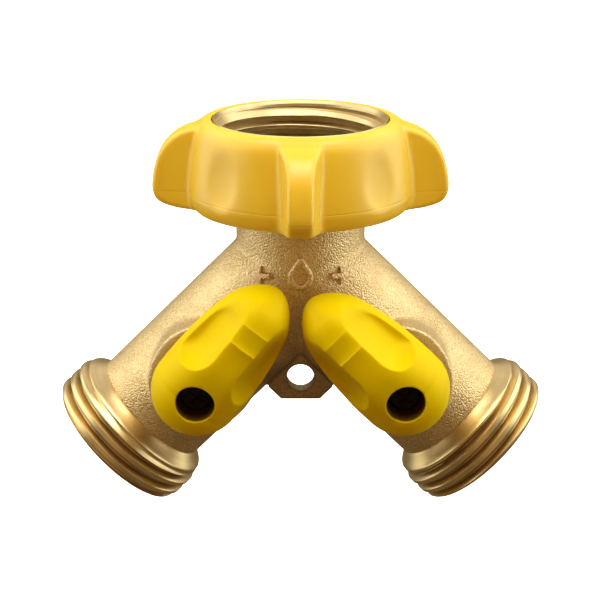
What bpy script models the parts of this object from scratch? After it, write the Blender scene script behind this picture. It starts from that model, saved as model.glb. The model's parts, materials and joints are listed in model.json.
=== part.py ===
"""Two-way garden hose splitter: brass Y body, swivel inlet nut with a finned grip, two ball valves.

Frame: origin at the centre of the inlet washer's upper face, +Z up along the inlet axis towards the
tap, +X to the right along the line of the two outlets, handles on the -Y side. All constants are in
millimetres and degrees; MM turns them into metres. Heights named *_Z are measured from the origin,
and stations named *_S are measured along a leg from the hub, where the inlet and leg axes cross.
"""
import math

import bmesh
import bpy
from mathutils import Matrix, Vector

MM = 0.001
FIT_GAP = 0.3
OVERCUT = 1.0  # how far a cutting tool runs past the face it leaves through

# Garden hose thread, 3/4-11.5 NH
THREAD_PITCH = 25.4 / 11.5
THREAD_MAJOR_R = 13.49
THREAD_MINOR_R = 12.15
NUT_THREAD_MAJOR_R = 13.62
NUT_THREAD_MINOR_R = 12.42
THREAD_STEPS = 20
THREAD_ROOT_HALF = 0.44 * THREAD_PITCH
THREAD_CREST_HALF = 0.08 * THREAD_PITCH
THREAD_FADE_TURNS = 1 / 3
THREAD_START_RISE = 0.12
THREAD_SINK = 0.25

# Y body
HUB_Z = -17.9
LEG_TILT = 45.0
PIPE_R = 10.6
NECK_TOP_Z = -3.2
NECK_SOLID_LOW_Z = HUB_Z - 3.0
NECK_BORE_R = 7.5
NECK_BORE_BOTTOM_Z = HUB_Z + 2.5
WATERWAY_R = 4.9
WATERWAY_START_S = 0.5
NECK_CONE_BOTTOM_Z = HUB_Z - 1.5
GROOVE_R = 10.1
GROOVE_LOW_Z = -5.95
GROOVE_HIGH_Z = -3.65
CONE_START_S = 35.7
THREAD_CORE_S = 37.3
THREAD_FIRST_S = 37.8
LEG_END_S = 44.3
LEG_CHAMFER = 0.8
BODY_STEPS = 28
STEM_STEPS = 20
SMALL_STEPS = 16

# Outlet valve, one in each leg
VALVE_S = 23.5
CHAMBER_R = 8.0
CHAMBER_START_S = 15.3
CHAMBER_END_S = 31.4
OUTLET_BORE_R = 9.0
BALL_R = 7.6
BALL_STEPS = 20
PORT_R = 4.8
SEAT_SPHERE_R = BALL_R + FIT_GAP
SEAT_OUTER_R = CHAMBER_R - FIT_GAP
SEAT_INNER_R = 5.1
SEAT_FACE_OFFSET = 4.1
SEAT_BACK_OFFSET = 7.9
RETAINER_R = 8.7
RETAINER_START_S = 31.7
RETAINER_END_S = 38.5
RETAINER_HEX_S = 35.5
RETAINER_BORE_R = 5.2
RETAINER_BEVEL = 0.4
HEX_CORNER_R = 6.35

# Stem boss and stem; heights measured outwards from the leg axis
BOSS_R = 8.3
BOSS_FACE_H = 13.2
BOSS_LOW_H = 2.0
BOSS_PHASE = 0.07
NECK_PHASE = 0.04
LEG_PHASE = 0.02
BORE_PHASE = 0.11
STEM_BORE_R = 3.8
POCKET_R = 4.6
POCKET_LOW_H = 5.0
POCKET_TOP_H = 9.7
STEM_OVERLAP = 0.4
TANG_BOTTOM_H = 5.9
TANG_THICK = 3.0
TANG_LENGTH = 6.6
SLOT_BOTTOM_H = 5.6
FLANGE_R = 4.3
FLANGE_LOW_H = 7.9
FLANGE_TOP_H = 8.8
THRUST_LOW_H = 9.05
THRUST_TOP_H = 9.45
SHANK_R = 3.45
SHANK_TOP_H = 13.3
O_RING_HEIGHTS = (10.6, 12.3)
O_RING_MAJOR_R = 3.05
O_RING_SECTION_R = 0.4
O_RING_SIDES = 5
O_RING_SMOOTH_DEG = 80.0
O_RING_GROOVE_R = 2.35
O_RING_GROOVE_HALF = 0.65
DRIVE_SIDE = 4.8
DRIVE_TOP_H = 15.4
TAPPED_R = 1.65
TAPPED_BOTTOM_H = 11.6

# Handle; heights measured outwards from the leg axis, lengths from the stem axis along the lever
HANDLE_BASE_H = 13.6
HANDLE_SOCKET_TOP_H = 15.7
HANDLE_RECESS_FLOOR_H = 16.6
HANDLE_RIDGE_TOP_H = 23.2
HANDLE_RIM_H = 15.0
HANDLE_SCOOP_H = 16.4
HANDLE_HUB_R = 7.5
HANDLE_REACH = 21.3
TAPER_LENGTH = 28.5
TAPER_POWER = 2.5
NOSE_START_X = 15.2
DOME_POWER = 3
DOME_BLUNTNESS = 0.62
NOSE_POWER = 2.4
RIDGE_PEAK_X = 10.0
RIDGE_FALL_TO_HUB = (11.0, 1.9)
RIDGE_FALL_TO_TIP = (8.6, 1.3)
HOLLOWS = ((11.7, 15.3, 0.3), (15.3, 18.4, 0.24))
RIDGE_HALF_WIDTH = 2.3
SCOOP_END_X = 8.2
SCOOP_FADE_X = (12.5, 22.5)
SCOOP_WALL_RUN = 1.2
RIDGE_EDGE_SHARE = 0.7
SCOOP_FOOT_SHARE = 0.85
SCOOP_FLOOR_SHARES = (0.5, 0.85)
RECESS_R = 3.03
RECESS_STEPS = 24
SCREW_HEAD_R = 2.7
SCREW_HEAD_LOW_H = 16.9
SCREW_HEAD_TOP_H = 17.7
SCREW_SHANK_R = 1.35
SCREW_END_H = 12.0
SCREW_BEVEL = 0.45
CROSS_LENGTH = 3.0
CROSS_WIDTH = 0.6
CROSS_DEPTH = 0.45
HANDLE_ROWS = 24

# Handle direction at rest, measured up from the horizontal towards the hub
HANDLE_REST = {"left": 51.6, "right": 44.3}
SIDE_SIGN = {"left": -1.0, "right": 1.0}

# Tab in the crotch of the Y
TAB_THICK = 3.3
TAB_HOLE_R = 2.33
TAB_HOLE_Z = HUB_Z - 19.45
TAB_BOTTOM_Z = HUB_Z - 23.3
TAB_CORNER_Z = HUB_Z - 21.2
TAB_SHOULDER_Z = HUB_Z - 19.0
TAB_APEX_Z = HUB_Z - 13.4
TAB_BOTTOM_HALF = 3.3
TAB_HALF = 5.4

# Raised flow mark on the hub: a water drop between two arrows
MARK_HEIGHT = 0.45
MARK_Z = HUB_Z + 1.0
DROP_R = 1.55
DROP_WALL = 0.6
DROP_TOP = 2.5
DROP_SHOULDER_DEG = 35.0
MARK_LOW_H = PIPE_R - 2.0
ARROW_NEAR_X = 4.1
ARROW_FAR_X = 8.0
ARROW_HALF = 1.0
ARROW_BAR_HALF = 0.35
ARROW_HEAD_LENGTH = 1.7

# Inlet: washer, retaining ring, swivel nut and grip
WASHER_OUTER_R = 12.3
WASHER_INNER_R = 7.95
WASHER_THICK = 2.9
RING_MAJOR_R = 11.2
RING_SECTION_R = 0.8
RING_Z = -4.8
RING_SPLIT = 2.4
RING_STEPS = 26
RING_SIDES = 6
NUT_STEPS = 32
NUT_R = 14.8
NUT_RIM_R = 14.2
NUT_SHOULDER_Z = 6.1
NUT_TOP_Z = 6.8
NUT_LEAD = 0.5
NUT_THREAD_START_Z = 1.2
NUT_THREAD_END_Z = 5.7
NUT_BOTTOM_Z = -7.5
NUT_FLANGE_TOP_Z = -5.9
NUT_FLANGE_R = 10.95
NUT_RECESS_R = 12.75
GRIP_BORE_R = 15.1
GRIP_LIP_R = 14.5
GRIP_LIP_Z = 6.4
GRIP_TOP_Z = 7.0
GRIP_BOTTOM_Z = -7.9
GRIP_BODY = ((-7.9, 17.0), (-7.2, 17.8), (-4.8, 18.2), (2.1, 17.5), (5.2, 17.0), (6.3, 16.6), (7.0, 15.9))
GRIP_FIN = (
    (-7.9, 17.6), (-7.5, 20.6), (-6.9, 22.8), (-6.0, 23.9), (-4.5, 24.2), (-2.6, 24.0), (0.2, 23.3),
    (2.3, 22.2), (3.9, 20.8), (5.0, 19.2), (5.7, 17.5), (6.3, 16.6), (7.0, 15.9),
)
GRIP_FINS = 4
FIN_FLAT_DEG = 3.5
FIN_ROOT_DEG = 17.0
DIMPLE_DEPTH = 0.6
DIMPLE_Z = 0.9
DIMPLE_HALF_HEIGHT = 4.9
DIMPLE_HALF_DEG = 12.5
GRIP_STEPS = 60

MATERIALS = {
    "brass_cast": ((0.46, 0.30, 0.11), 0.45, 1.0),
    "brass_turned": ((0.62, 0.42, 0.16), 0.28, 1.0),
    "grip_plastic": ((0.93, 0.60, 0.03), 0.30, 0.0),
    "handle_plastic": ((0.93, 0.74, 0.01), 0.38, 0.0),
    "rubber": ((0.02, 0.02, 0.02), 0.75, 0.0),
    "seat_plastic": ((0.86, 0.86, 0.82), 0.45, 0.0),
    "steel_dark": ((0.05, 0.045, 0.04), 0.40, 1.0),
    "steel_bright": ((0.62, 0.62, 0.60), 0.25, 1.0),
    "chrome_ball": ((0.80, 0.80, 0.82), 0.08, 1.0),
}


# ---------------------------------------------------------------- small tools

def clear_scene():
    for old in list(bpy.data.objects):
        bpy.data.objects.remove(old, do_unlink=True)


def material(name):
    found = bpy.data.materials.get(name)
    if found:
        return found
    color, roughness, metallic = MATERIALS[name]
    made = bpy.data.materials.new(name)
    made.use_nodes = True
    shader = made.node_tree.nodes["Principled BSDF"]
    shader.inputs["Base Color"].default_value = (*color, 1.0)
    shader.inputs["Roughness"].default_value = roughness
    shader.inputs["Metallic"].default_value = metallic
    made.diffuse_color = (*color, 1.0)
    return made


def make_object(name, bm, finish=None, place=Matrix.Identity(4)):
    """Turn a bmesh given in millimetres into an object in metres, with its origin at the place."""
    bmesh.ops.recalc_face_normals(bm, faces=bm.faces)
    bmesh.ops.scale(bm, verts=bm.verts, vec=(MM, MM, MM))
    mesh = bpy.data.meshes.new(name)
    bm.to_mesh(mesh)
    bm.free()
    if finish:
        mesh.materials.append(material(finish))
    made = bpy.data.objects.new(name, mesh)
    bpy.context.scene.collection.objects.link(made)
    made.matrix_world = place
    return made


def combine(target, tool, operation):
    """Apply one exact Boolean of tool to target, and remove the tool."""
    modifier = target.modifiers.new("combine", "BOOLEAN")
    modifier.operation = operation
    modifier.solver = "EXACT"
    modifier.object = tool
    bpy.context.view_layer.update()
    evaluated = target.evaluated_get(bpy.context.evaluated_depsgraph_get())
    mesh = bpy.data.meshes.new_from_object(evaluated)
    target.modifiers.remove(modifier)
    target.data = mesh
    bpy.data.objects.remove(tool, do_unlink=True)
    return target


def join(target, *tools):
    for tool in tools:
        combine(target, tool, "UNION")
    return target


def cut(target, *tools):
    for tool in tools:
        combine(target, tool, "DIFFERENCE")
    return target


def finish_smooth(made, sharp_deg=32.0):
    made.data.shade_smooth()
    made.data.set_sharp_from_angle(angle=math.radians(sharp_deg))
    return made


def turned_mesh(profile, steps, closed=True):
    """Spin a profile of (radius, height) points about Z; an open one starts and ends on the axis."""
    bm = bmesh.new()
    verts = [bm.verts.new((radius, 0.0, height)) for radius, height in profile]
    edges = [bm.edges.new(pair) for pair in zip(verts, verts[1:])]
    if closed:
        edges.append(bm.edges.new((verts[-1], verts[0])))
    bmesh.ops.spin(bm, geom=verts + edges, cent=(0, 0, 0), axis=(0, 0, 1), dvec=(0, 0, 0),
                   angle=math.tau, steps=steps, use_merge=True)
    bmesh.ops.remove_doubles(bm, verts=bm.verts, dist=1e-4)
    return bm


def turned(name, profile, steps, finish=None, place=Matrix.Identity(4), closed=True):
    return make_object(name, turned_mesh(profile, steps, closed), finish, place)


def rod(name, radius, low, high, steps, place=Matrix.Identity(4), phase=0.0):
    """A plain cylinder along Z; phase turns its facets so that no two pieces share an edge line."""
    profile = [(0.0, low), (radius, low), (radius, high), (0.0, high)]
    return turned(name, profile, steps, None, place @ Matrix.Rotation(phase, 4, "Z"), closed=False)


def block(name, size, centre, place=Matrix.Identity(4)):
    bm = bmesh.new()
    bmesh.ops.create_cube(bm, size=1.0)
    bmesh.ops.scale(bm, verts=bm.verts, vec=size)
    bmesh.ops.translate(bm, verts=bm.verts, vec=centre)
    return make_object(name, bm, None, place)


def post(name, length, width, low, high, place):
    """A rectangular block centred on the place's Z axis, from one height to another."""
    return block(name, (length, width, high - low), (0.0, 0.0, (low + high) / 2), place)


def plate(name, outline, low, high, place=Matrix.Identity(4)):
    """A prism: an outline of (x, y) points extruded from one height to another."""
    bm = bmesh.new()
    face = bm.faces.new([bm.verts.new((x, y, low)) for x, y in outline])
    lifted = bmesh.ops.extrude_face_region(bm, geom=[face])
    moved = [item for item in lifted["geom"] if isinstance(item, bmesh.types.BMVert)]
    bmesh.ops.translate(bm, verts=moved, vec=(0, 0, high - low))
    return make_object(name, bm, None, place)


def ring_points(radius, count, phase=0.0):
    angles = [phase + math.tau * step / count for step in range(count)]
    return [(radius * math.cos(angle), radius * math.sin(angle)) for angle in angles]


def bridge_rings(bm, rings, close_ends=True):
    """Join a list of equal vertex rings into a tube, capped at both ends unless told not to."""
    for lower, upper in zip(rings, rings[1:]):
        for index in range(len(lower)):
            following = (index + 1) % len(lower)
            bm.faces.new((lower[index], lower[following], upper[following], upper[index]))
    if close_ends:
        bm.faces.new(rings[0])
        bm.faces.new(rings[-1])


def hollow_plate(name, outer, inner, low, high, place=Matrix.Identity(4)):
    """A prism between two outlines that have the same number of points."""
    bm = bmesh.new()
    levels = ((outer, low), (outer, high), (inner, high), (inner, low))
    rings = [[bm.verts.new((x, y, height)) for x, y in outline] for outline, height in levels]
    bridge_rings(bm, rings + rings[:1], close_ends=False)
    return make_object(name, bm, None, place)


def thread_ridge(name, root_r, crest_r, start, turns, place=Matrix.Identity(4)):
    """A helical ridge of truncated triangular section, fading in and out over a third of a turn."""
    bm = bmesh.new()
    count = round(turns * THREAD_STEPS)
    fade = THREAD_STEPS * THREAD_FADE_TURNS
    foot_r = root_r - math.copysign(THREAD_SINK, crest_r - root_r)
    rings = []
    for step in range(count + 1):
        angle = math.tau * step / THREAD_STEPS
        height = start + THREAD_PITCH * step / THREAD_STEPS
        rise = min(1.0, THREAD_START_RISE + min(step, count - step) / fade)
        top_r = root_r + rise * (crest_r - root_r)
        half = THREAD_ROOT_HALF * (1.0 + 2.0 * rise) / 3.0
        section = ((foot_r, -half), (top_r, -THREAD_CREST_HALF), (top_r, THREAD_CREST_HALF), (foot_r, half))
        ring = [bm.verts.new((r * math.cos(angle), r * math.sin(angle), height + dz)) for r, dz in section]
        rings.append(ring)
    bridge_rings(bm, rings)
    return make_object(name, bm, None, place)


# ---------------------------------------------------------------- reference frames

def leg_place(side):
    """Local Z runs down the leg from the hub, local Y stays on world Y."""
    turn = math.radians(180.0 - LEG_TILT) * SIDE_SIGN[side]
    return Matrix.Translation(Vector((0, 0, HUB_Z)) * MM) @ Matrix.Rotation(turn, 4, "Y")


def valve_centre(side):
    tilt = math.radians(LEG_TILT)
    across = SIDE_SIGN[side] * VALVE_S * math.sin(tilt)
    return Vector((across, 0.0, HUB_Z - VALVE_S * math.cos(tilt))) * MM


def valve_place(side, lever=True):
    """Local Z runs out along the stem, local X along the lever at rest, or level if lever is False."""
    rise = math.radians(HANDLE_REST[side]) if lever else 0.0
    angle = rise if side == "left" else math.pi - rise
    along = Vector((math.cos(angle), 0.0, math.sin(angle)))
    outward = Vector((0.0, -1.0, 0.0))
    turn = Matrix((along, outward.cross(along), outward)).transposed().to_4x4()
    return Matrix.Translation(valve_centre(side)) @ turn


# ---------------------------------------------------------------- brass body

def neck_solid(name, radius, top):
    return rod(name, radius, NECK_SOLID_LOW_Z, top, BODY_STEPS, phase=NECK_PHASE)


def leg_solid(side):
    """One leg with its turned cone and male hose thread, trimmed to a chamfered end."""
    place = leg_place(side)
    beyond = LEG_END_S + 2 * OVERCUT
    profile = [
        (0.0, 0.0), (PIPE_R, 0.0), (PIPE_R, CONE_START_S), (THREAD_MINOR_R, THREAD_CORE_S),
        (THREAD_MINOR_R, beyond), (0.0, beyond),
    ]
    phased = place @ Matrix.Rotation(LEG_PHASE, 4, "Z")
    leg = turned("leg_" + side, profile, BODY_STEPS, place=phased, closed=False)
    turns = (LEG_END_S + LEG_CHAMFER - THREAD_FIRST_S) / THREAD_PITCH
    turned_half = place @ Matrix.Rotation(math.pi, 4, "Z")
    start = THREAD_FIRST_S
    join(leg, thread_ridge("ridge_" + side, THREAD_MINOR_R, THREAD_MAJOR_R, start, turns, turned_half))
    slope_r = THREAD_MAJOR_R + FIT_GAP
    clear = THREAD_MAJOR_R + 2 * OVERCUT
    trim = [
        (0.0, LEG_END_S), (slope_r - LEG_CHAMFER, LEG_END_S), (slope_r, LEG_END_S - LEG_CHAMFER),
        (clear, LEG_END_S - LEG_CHAMFER), (clear, beyond + OVERCUT), (0.0, beyond + OVERCUT),
    ]
    return cut(leg, turned("trim", trim, BODY_STEPS, place=place, closed=False))


def tab_solid():
    outline = [
        (-TAB_BOTTOM_HALF, TAB_BOTTOM_Z), (TAB_BOTTOM_HALF, TAB_BOTTOM_Z), (TAB_HALF, TAB_CORNER_Z),
        (TAB_HALF, TAB_SHOULDER_Z), (0.0, TAB_APEX_Z),
        (-TAB_HALF, TAB_SHOULDER_Z), (-TAB_HALF, TAB_CORNER_Z),
    ]
    upright = Matrix.Rotation(math.radians(90.0), 4, "X")
    tab = plate("tab", outline, -TAB_THICK / 2, TAB_THICK / 2, upright)
    hole_place = Matrix.Translation((0, 0, TAB_HOLE_Z * MM)) @ upright
    return cut(tab, rod("tab_hole", TAB_HOLE_R, -TAB_THICK, TAB_THICK, STEM_STEPS, hole_place))


def drop_outline(radius, tip, count=14):
    """A water drop: the lower part of a circle, closed by a point above it."""
    start = math.radians(DROP_SHOULDER_DEG)
    sweep = math.tau - 2 * (math.pi / 2 - start)
    angles = [start - sweep * step / count for step in range(count + 1)]
    return [(radius * math.cos(angle), radius * math.sin(angle)) for angle in angles] + [(0.0, tip)]


def arrow_outline(sign):
    neck_x = ARROW_FAR_X - ARROW_HEAD_LENGTH
    outline = [
        (ARROW_NEAR_X, -ARROW_BAR_HALF), (neck_x, -ARROW_BAR_HALF), (neck_x, -ARROW_HALF),
        (ARROW_FAR_X, 0.0),
        (neck_x, ARROW_HALF), (neck_x, ARROW_BAR_HALF), (ARROW_NEAR_X, ARROW_BAR_HALF),
    ]
    return [(sign * x, y) for x, y in outline]


def casting_skin():
    """The neck and legs grown by MARK_HEIGHT, which cuts the raised mark off to an even height."""
    radius = PIPE_R + MARK_HEIGHT
    skin = neck_solid("skin", radius, HUB_Z + PIPE_R)
    for side in SIDE_SIGN:
        join(skin, rod("skin_leg", radius, 0.0, 2 * PIPE_R, BODY_STEPS, leg_place(side), LEG_PHASE))
    return skin


def flow_marks():
    """A raised water drop outline between two arrows, each a prism cut off by the casting's skin."""
    front = Matrix.Translation((0, 0, MARK_Z * MM)) @ Matrix.Rotation(math.radians(90.0), 4, "X")
    low = MARK_LOW_H
    high = PIPE_R + MARK_HEIGHT + OVERCUT
    outer = drop_outline(DROP_R + DROP_WALL / 2, DROP_TOP + DROP_WALL)
    inner = drop_outline(DROP_R - DROP_WALL / 2, DROP_TOP - DROP_WALL)
    yield combine(hollow_plate("drop", outer, inner, low, high, front), casting_skin(), "INTERSECT")
    for sign in (-1, 1):
        arrow = plate("arrow", arrow_outline(sign), low, high, front)
        yield combine(arrow, casting_skin(), "INTERSECT")


def leg_cutters(side):
    """The stepped bore of one leg, and the stepped bore of its stem boss."""
    bore = [
        (0.0, WATERWAY_START_S), (WATERWAY_R, WATERWAY_START_S), (WATERWAY_R, CHAMBER_START_S),
        (CHAMBER_R, CHAMBER_START_S), (CHAMBER_R, CHAMBER_END_S), (OUTLET_BORE_R, CHAMBER_END_S),
        (OUTLET_BORE_R, LEG_END_S + OVERCUT), (0.0, LEG_END_S + OVERCUT),
    ]
    bore_place = leg_place(side) @ Matrix.Rotation(BORE_PHASE, 4, "Z")
    yield turned("leg_bore", bore, BODY_STEPS, place=bore_place, closed=False)
    stem_bore = [
        (0.0, POCKET_LOW_H), (POCKET_R, POCKET_LOW_H), (POCKET_R, POCKET_TOP_H),
        (STEM_BORE_R, POCKET_TOP_H), (STEM_BORE_R, BOSS_FACE_H + OVERCUT), (0.0, BOSS_FACE_H + OVERCUT),
    ]
    yield turned("stem_bore", stem_bore, STEM_STEPS, place=valve_place(side, lever=False), closed=False)


def y_body():
    body = neck_solid("y_body", PIPE_R, NECK_TOP_Z)
    body.data.materials.append(material("brass_cast"))
    for side in SIDE_SIGN:
        join(body, leg_solid(side))
        boss_place = valve_place(side, lever=False)
        join(body, rod("boss", BOSS_R, BOSS_LOW_H, BOSS_FACE_H, BODY_STEPS, boss_place, BOSS_PHASE))
    join(body, tab_solid(), *flow_marks())
    outer = PIPE_R + OVERCUT
    groove = [
        (GROOVE_R, GROOVE_LOW_Z), (outer, GROOVE_LOW_Z), (outer, GROOVE_HIGH_Z), (GROOVE_R, GROOVE_HIGH_Z),
    ]
    cut(body, turned("ring_groove", groove, BODY_STEPS))
    bore = [
        (0.0, NECK_CONE_BOTTOM_Z), (WATERWAY_R, NECK_CONE_BOTTOM_Z), (NECK_BORE_R, NECK_BORE_BOTTOM_Z),
        (NECK_BORE_R, NECK_TOP_Z + OVERCUT), (0.0, NECK_TOP_Z + OVERCUT),
    ]
    cut(body, turned("neck_bore", bore, BODY_STEPS, closed=False))
    for side in SIDE_SIGN:
        cut(body, *leg_cutters(side))
    return finish_smooth(body)


# ---------------------------------------------------------------- inlet

def hose_washer():
    profile = [
        (WASHER_INNER_R, -WASHER_THICK), (WASHER_OUTER_R, -WASHER_THICK), (WASHER_OUTER_R, 0.0),
        (WASHER_INNER_R, 0.0),
    ]
    return finish_smooth(turned("hose_washer", profile, BODY_STEPS, "rubber"))


def round_section(major, minor, height, count):
    return [(major + x, height + y) for x, y in ring_points(minor, count, math.pi / count)]


def retaining_ring():
    section = round_section(RING_MAJOR_R, RING_SECTION_R, RING_Z, RING_SIDES)
    ring = turned("retaining_ring", section, RING_STEPS, "steel_bright")
    reach = RING_MAJOR_R + RING_SECTION_R + OVERCUT
    cut(ring, block("split", (RING_SPLIT, reach, 4 * RING_SECTION_R), (0.0, reach / 2, RING_Z)))
    return finish_smooth(ring)


def swivel_nut():
    lead_r = NUT_THREAD_MAJOR_R + NUT_LEAD / 3
    profile = [
        (NUT_FLANGE_R, NUT_BOTTOM_Z), (NUT_R, NUT_BOTTOM_Z), (NUT_R, NUT_SHOULDER_Z),
        (NUT_RIM_R, NUT_SHOULDER_Z), (NUT_RIM_R, NUT_TOP_Z),
        (lead_r, NUT_TOP_Z), (NUT_THREAD_MAJOR_R, NUT_TOP_Z - NUT_LEAD),
        (NUT_THREAD_MAJOR_R, 0.0), (NUT_RECESS_R, 0.0), (NUT_RECESS_R, NUT_FLANGE_TOP_Z),
        (NUT_FLANGE_R, NUT_FLANGE_TOP_Z),
    ]
    nut = turned("swivel_nut", profile, NUT_STEPS, "brass_turned")
    turns = (NUT_THREAD_END_Z - NUT_THREAD_START_Z) / THREAD_PITCH
    start = NUT_THREAD_START_Z
    join(nut, thread_ridge("nut_ridge", NUT_THREAD_MAJOR_R, NUT_THREAD_MINOR_R, start, turns))
    return finish_smooth(nut)


def along_profile(profile, height):
    """Read a radius off a list of (height, radius) points by straight lines between them."""
    for (low, low_r), (high, high_r) in zip(profile, profile[1:]):
        if height <= high:
            return low_r + (high_r - low_r) * (height - low) / (high - low)
    return profile[-1][1]


def smooth_step(low, high, value):
    part = min(1.0, max(0.0, (value - low) / (high - low)))
    return part * part * (3.0 - 2.0 * part)


def grip_radius(angle_deg, height):
    """Outer radius of the grip: body, plus a share of the fin, less a shallow dimple between fins."""
    spacing = 360.0 / GRIP_FINS
    off_fin = abs((angle_deg + spacing / 2) % spacing - spacing / 2)
    share = 1.0 - smooth_step(FIN_FLAT_DEG, FIN_ROOT_DEG, off_fin)
    body = along_profile(GRIP_BODY, height)
    fin = along_profile(GRIP_FIN, height)
    across = (spacing / 2 - off_fin) / DIMPLE_HALF_DEG
    upright = (height - DIMPLE_Z) / DIMPLE_HALF_HEIGHT
    dimple = max(0.0, 1.0 - across * across - upright * upright)
    return body + share * (fin - body) - DIMPLE_DEPTH * math.sqrt(dimple)


def swivel_grip():
    bm = bmesh.new()
    inner = [
        (GRIP_LIP_R, GRIP_TOP_Z), (GRIP_LIP_R, GRIP_LIP_Z),
        (GRIP_BORE_R, GRIP_LIP_Z), (GRIP_BORE_R, GRIP_BOTTOM_Z),
    ]
    rings = []
    for height, _ in GRIP_FIN:
        radii = [grip_radius(360.0 * step / GRIP_STEPS, height) for step in range(GRIP_STEPS)]
        outline = [(radius * x, radius * y) for radius, (x, y) in zip(radii, ring_points(1.0, GRIP_STEPS))]
        rings.append([bm.verts.new((x, y, height)) for x, y in outline])
    for radius, height in inner:
        rings.append([bm.verts.new((x, y, height)) for x, y in ring_points(radius, GRIP_STEPS)])
    bridge_rings(bm, rings + rings[:1], close_ends=False)
    return finish_smooth(make_object("swivel_grip", bm, "grip_plastic"))


# ---------------------------------------------------------------- ball valves

def ball(side):
    place = valve_place(side)
    bm = bmesh.new()
    bmesh.ops.create_uvsphere(bm, u_segments=BALL_STEPS, v_segments=BALL_STEPS // 2, radius=BALL_R)
    made = make_object(side + "_ball", bm, "chrome_ball", place)
    reach = BALL_R + OVERCUT
    port_place = place @ Matrix.Rotation(math.pi / 2, 4, "Y")
    cut(made, rod("port", PORT_R, -reach, reach, STEM_STEPS, port_place))
    cut(made, post("slot", TANG_THICK + 2 * FIT_GAP, 2 * reach, SLOT_BOTTOM_H, reach, place))
    return finish_smooth(made)


def seat(side, name, sign):
    """A ring whose face is a zone of a sphere around the ball; sign is +1 towards the outlet."""
    inner_offset = math.sqrt(SEAT_SPHERE_R ** 2 - SEAT_INNER_R ** 2)
    offsets = (SEAT_FACE_OFFSET, (SEAT_FACE_OFFSET + inner_offset) / 2, inner_offset)
    face = [(math.sqrt(SEAT_SPHERE_R ** 2 - offset ** 2), offset) for offset in offsets]
    back = [
        (SEAT_INNER_R, SEAT_BACK_OFFSET), (SEAT_OUTER_R, SEAT_BACK_OFFSET), (SEAT_OUTER_R, SEAT_FACE_OFFSET),
    ]
    placed = [(radius, VALVE_S + sign * offset) for radius, offset in back + face]
    if sign < 0:
        placed = [(radius, max(height, CHAMBER_START_S + FIT_GAP)) for radius, height in placed]
    else:
        placed = [(radius, min(height, CHAMBER_END_S)) for radius, height in placed]
    made = turned("{}_{}".format(side, name), placed, STEM_STEPS, "seat_plastic", leg_place(side))
    return finish_smooth(made)


def seat_retainer(side):
    place = leg_place(side)
    bevel_r = RETAINER_R - RETAINER_BEVEL
    profile = [
        (RETAINER_BORE_R, RETAINER_START_S), (bevel_r, RETAINER_START_S),
        (RETAINER_R, RETAINER_START_S + RETAINER_BEVEL), (RETAINER_R, RETAINER_END_S - RETAINER_BEVEL),
        (bevel_r, RETAINER_END_S), (RETAINER_BORE_R, RETAINER_END_S),
    ]
    made = turned(side + "_seat_retainer", profile, STEM_STEPS, "brass_turned", place)
    hexagon = ring_points(HEX_CORNER_R, 6)
    cut(made, plate("key_socket", hexagon, RETAINER_HEX_S, RETAINER_END_S + OVERCUT, place))
    return finish_smooth(made)


def stem(side):
    place = valve_place(side)
    profile = [
        (0.0, FLANGE_LOW_H), (FLANGE_R, FLANGE_LOW_H), (FLANGE_R, FLANGE_TOP_H), (SHANK_R, FLANGE_TOP_H),
    ]
    for height in O_RING_HEIGHTS:
        low = height - O_RING_GROOVE_HALF
        high = height + O_RING_GROOVE_HALF
        profile += [(SHANK_R, low), (O_RING_GROOVE_R, low), (O_RING_GROOVE_R, high), (SHANK_R, high)]
    profile += [(SHANK_R, SHANK_TOP_H), (0.0, SHANK_TOP_H)]
    made = turned(side + "_stem", profile, STEM_STEPS, "brass_turned", place, closed=False)
    join(made, post("tang", TANG_THICK, TANG_LENGTH, TANG_BOTTOM_H, FLANGE_LOW_H + STEM_OVERLAP, place))
    join(made, post("drive", DRIVE_SIDE, DRIVE_SIDE, SHANK_TOP_H - STEM_OVERLAP, DRIVE_TOP_H, place))
    cut(made, rod("tapped", TAPPED_R, TAPPED_BOTTOM_H, DRIVE_TOP_H + OVERCUT, SMALL_STEPS, place))
    return finish_smooth(made)


def stem_thrust_washer(side):
    profile = [
        (SHANK_R + FIT_GAP, THRUST_LOW_H), (FLANGE_R, THRUST_LOW_H), (FLANGE_R, THRUST_TOP_H),
        (SHANK_R + FIT_GAP, THRUST_TOP_H),
    ]
    made = turned(side + "_stem_thrust_washer", profile, STEM_STEPS, "seat_plastic", valve_place(side))
    return finish_smooth(made)


def stem_o_ring(side, name, height):
    section = round_section(O_RING_MAJOR_R, O_RING_SECTION_R, height, O_RING_SIDES)
    made = turned("{}_{}".format(side, name), section, SMALL_STEPS, "rubber", valve_place(side))
    return finish_smooth(made, O_RING_SMOOTH_DEG)


# ---------------------------------------------------------------- handles

def handle_half_width(along):
    """Plan outline of the handle: a half circle behind the stem, sides that draw in, a blunt nose."""
    if along <= 0.0:
        return math.sqrt(max(0.0, HANDLE_HUB_R ** 2 - along ** 2))
    taper = 1.0 - (along / TAPER_LENGTH) ** TAPER_POWER
    return HANDLE_HUB_R * taper * math.sqrt(nose_share(along))


def nose_share(along):
    """One along the lever up to the nose, then down to nothing at its end."""
    past = max(0.0, along - NOSE_START_X) / (HANDLE_REACH - NOSE_START_X)
    return max(0.0, 1.0 - past ** NOSE_POWER)


def ridge_height(along):
    """Height of the thumb ridge along the lever: a low arch with two hollows between three crests."""
    run, fall = RIDGE_FALL_TO_HUB if along < RIDGE_PEAK_X else RIDGE_FALL_TO_TIP
    height = HANDLE_RIDGE_TOP_H - fall * min(1.4, abs(along - RIDGE_PEAK_X) / run) ** 2
    for start, end, depth in HOLLOWS:
        share = min(1.0, max(0.0, (along - start) / (end - start)))
        height -= depth * 4 * share * (1 - share)
    return height


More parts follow.
